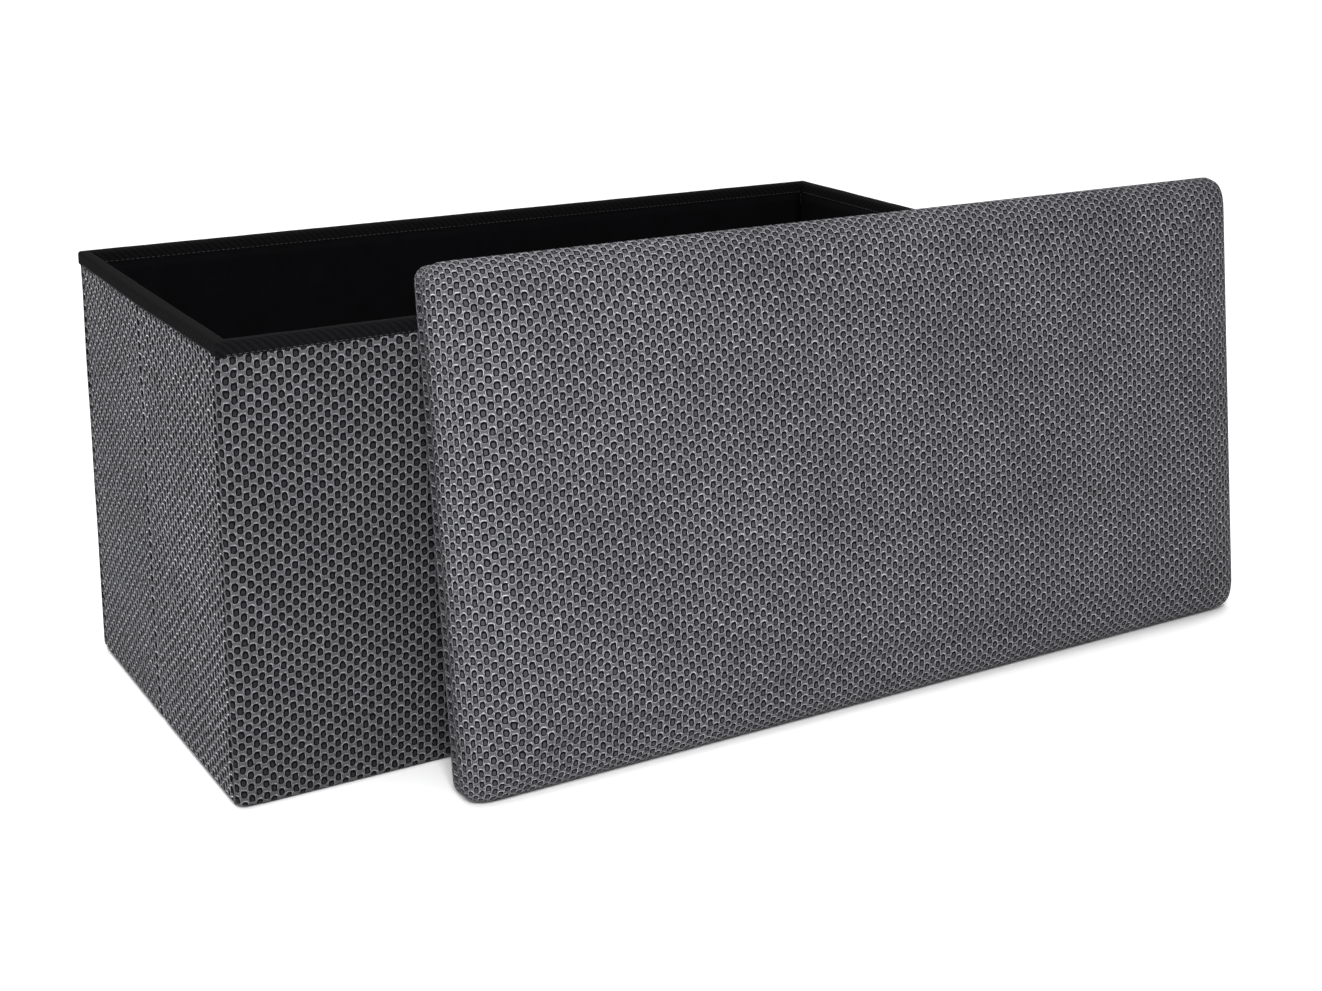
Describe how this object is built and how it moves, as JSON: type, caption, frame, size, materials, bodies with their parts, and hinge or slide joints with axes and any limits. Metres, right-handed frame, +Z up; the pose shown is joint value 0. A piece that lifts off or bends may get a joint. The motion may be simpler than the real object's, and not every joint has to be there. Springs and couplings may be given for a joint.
{
  "type": "storage bench",
  "caption": "Folding storage bench: fabric-covered box with dark lining and a loose padded lid leaning on its front wall.",
  "frame": {"origin": "middle of the box's underside, on the floor", "axes": "+Z up, +X along the bench, -Y towards the front wall, where the lid leans"},
  "size_m": [0.902, 0.4186, 0.3798],
  "materials": {
    "mesh_fabric": "grey three-dimensional mesh knit with dark dimples",
    "lining": "matt black non-woven",
    "binding": "matt black woven binding tape",
    "ribbon": "black ribbed ribbon",
    "board": "medium density fibreboard",
    "foam": "soft polyurethane foam",
    "staple_steel": "zinc plated wire"
  },
  "bodies": {
    "rear_wall": {"rear_board": "board", "rear_cover": "mesh_fabric", "rear_lining": "lining", "rear_rim": "binding", "rear_hem": "mesh_fabric", "bottom_sheet": "lining", "base_hinge_tape": "ribbon"},
    "left_rear_half": {"left_rear_board": "board", "left_rear_cover": "mesh_fabric", "left_rear_lining": "lining", "left_rear_rim": "binding", "left_rear_hem": "mesh_fabric"},
    "left_front_half": {"left_front_board": "board", "left_front_cover": "mesh_fabric", "left_front_lining": "lining", "left_front_rim": "binding", "left_front_hem": "mesh_fabric"},
    "front_wall": {"front_board": "board", "front_cover": "mesh_fabric", "front_lining": "lining", "front_rim": "binding", "front_hem": "mesh_fabric"},
    "right_rear_half": {"right_rear_board": "board", "right_rear_cover": "mesh_fabric", "right_rear_lining": "lining", "right_rear_rim": "binding", "right_rear_hem": "mesh_fabric"},
    "right_front_half": {"right_front_board": "board", "right_front_cover": "mesh_fabric", "right_front_lining": "lining", "right_front_rim": "binding", "right_front_hem": "mesh_fabric"},
    "base_panel": {"base_board": "board", "base_wrap": "lining", "base_pull_tab": "ribbon"},
    "lid": {"lid_board": "board", "lid_foam": "foam", "lid_cover": "mesh_fabric", "lid_lining": "lining", "lid_staples": "staple_steel"}
  },
  "joints": [
    {"name": "wall_fold", "type": "hinge", "parent": "rear_wall", "child": "left_rear_half", "pos_m": [-0.346, 0.1505, 0], "axis": [0, 0, 1], "range_deg": [0, 89.5], "deforming": ["front_hem", "rear_hem", "left_rear_hem", "left_front_hem", "right_rear_hem", "right_front_hem", "bottom_sheet"]},
    {"name": "left_middle_fold", "type": "hinge", "parent": "left_rear_half", "child": "left_front_half", "pos_m": [-0.35525, 0, 0], "axis": [0, 0, 1], "range_deg": [-179, 0]},
    {"name": "left_front_corner", "type": "hinge", "parent": "left_front_half", "child": "front_wall", "pos_m": [-0.346, -0.1505, 0], "axis": [0, 0, 1], "range_deg": [0, 89.5]},
    {"name": "right_rear_corner", "type": "hinge", "parent": "rear_wall", "child": "right_rear_half", "pos_m": [0.346, 0.1505, 0], "axis": [0, 0, 1], "range_deg": [-89.5, 0]},
    {"name": "right_middle_fold", "type": "hinge", "parent": "right_rear_half", "child": "right_front_half", "pos_m": [0.35525, 0, 0], "axis": [0, 0, 1], "range_deg": [0, 179]},
    {"name": "base_lift", "type": "hinge", "parent": "rear_wall", "child": "base_panel", "pos_m": [0, 0.1552, 0.0051], "axis": [-1, 0, 0], "range_deg": [0, 90], "deforming": ["base_hinge_tape"]},
    {"name": "lid_lift", "type": "slide", "parent": "rear_wall", "child": "lid", "axis": [0, 0, 1], "range_m": [0, 0.36]}
  ],
  "couplings": [
    {"joint": "left_middle_fold", "follows": "wall_fold", "ratio": -2},
    {"joint": "left_front_corner", "follows": "wall_fold", "ratio": 1},
    {"joint": "right_rear_corner", "follows": "wall_fold", "ratio": -1},
    {"joint": "right_middle_fold", "follows": "wall_fold", "ratio": 2}
  ]
}
